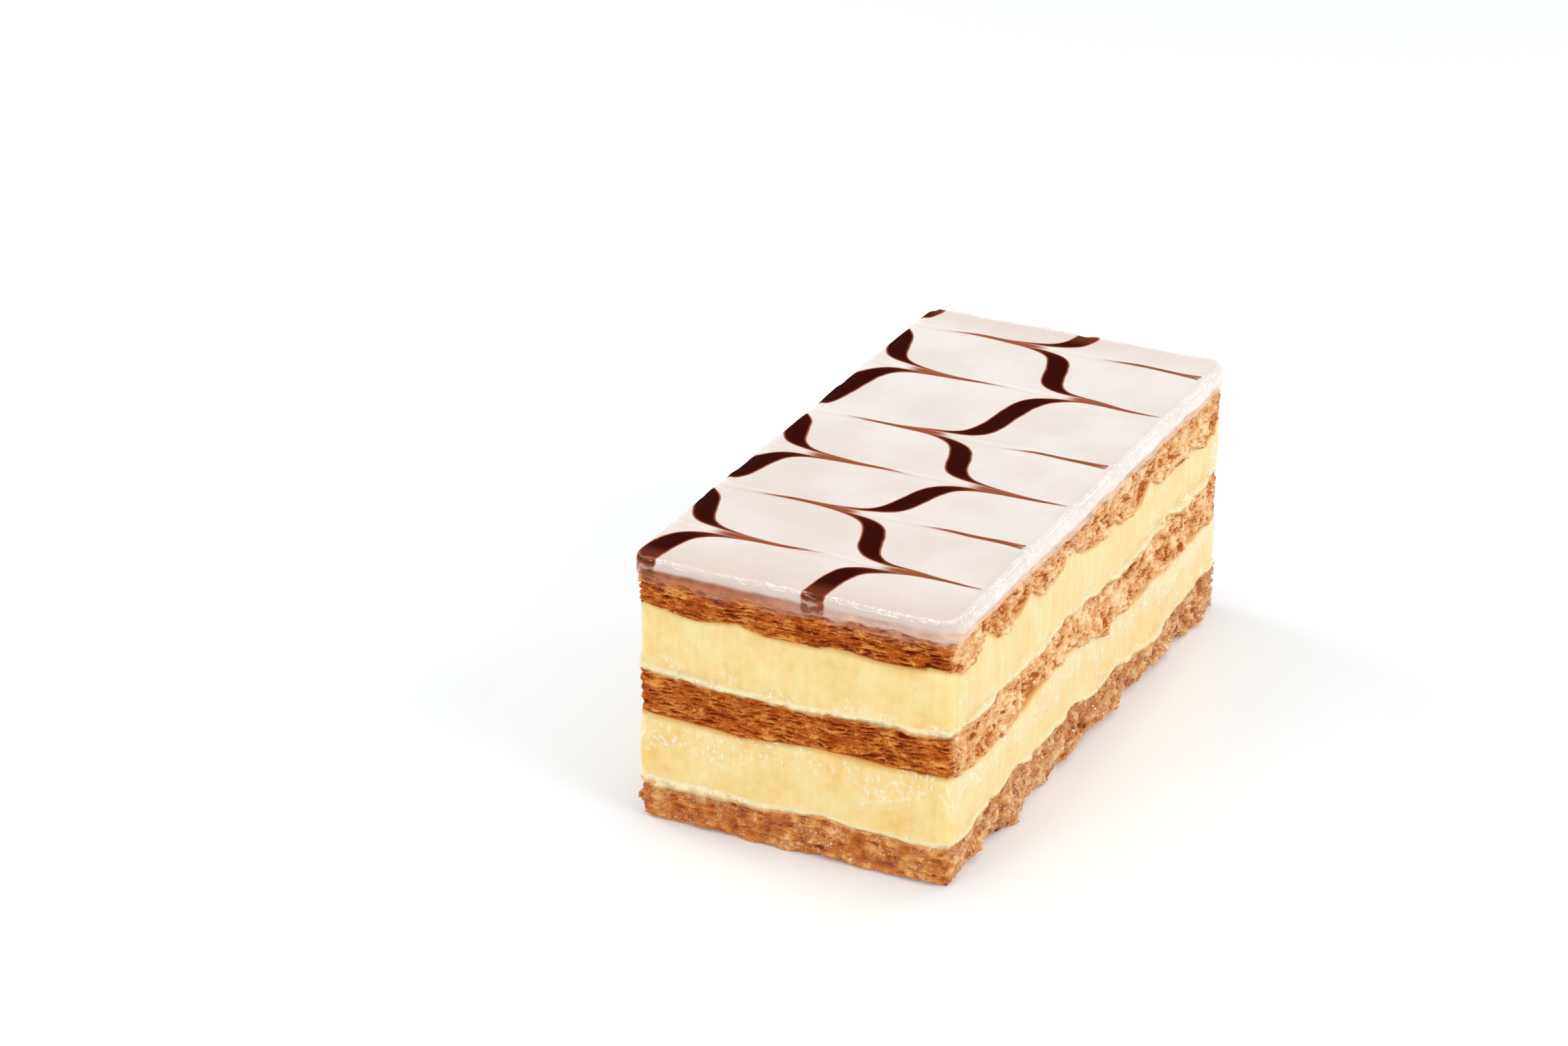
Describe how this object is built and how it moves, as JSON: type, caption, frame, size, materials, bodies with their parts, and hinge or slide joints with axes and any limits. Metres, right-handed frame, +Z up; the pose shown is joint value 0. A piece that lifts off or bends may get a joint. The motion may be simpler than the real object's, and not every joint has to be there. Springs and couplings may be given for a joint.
{
  "type": "mille feuille slice",
  "caption": "Rectangular slice of layered pastry: flaky pastry sheets with custard cream between them, under a thin sheet of white icing with feathered chocolate lines.",
  "frame": {"origin": "centre of the slice's footprint, at the height of its underside", "axes": "+Z up; the long sides run along Y and the short cut ends face -Y and +Y; the feather points nearest the -Y end are drawn towards +X"},
  "size_m": [0.0526, 0.1034, 0.0424],
  "materials": {
    "pastry": "baked puff pastry: golden brown, dry, finely flaked, with darker gaps between the leaves",
    "cream": "set custard cream: pale yellow, smooth, slightly moist",
    "icing": "set sugar icing: warm white, semi-gloss, with thin feathered lines of dark chocolate"
  },
  "bodies": {
    "root": {"pastry_bottom": "pastry", "cream_lower": "cream", "pastry_middle": "pastry", "cream_upper": "cream", "pastry_top": "pastry", "icing": "icing"}
  },
  "joints": []
}
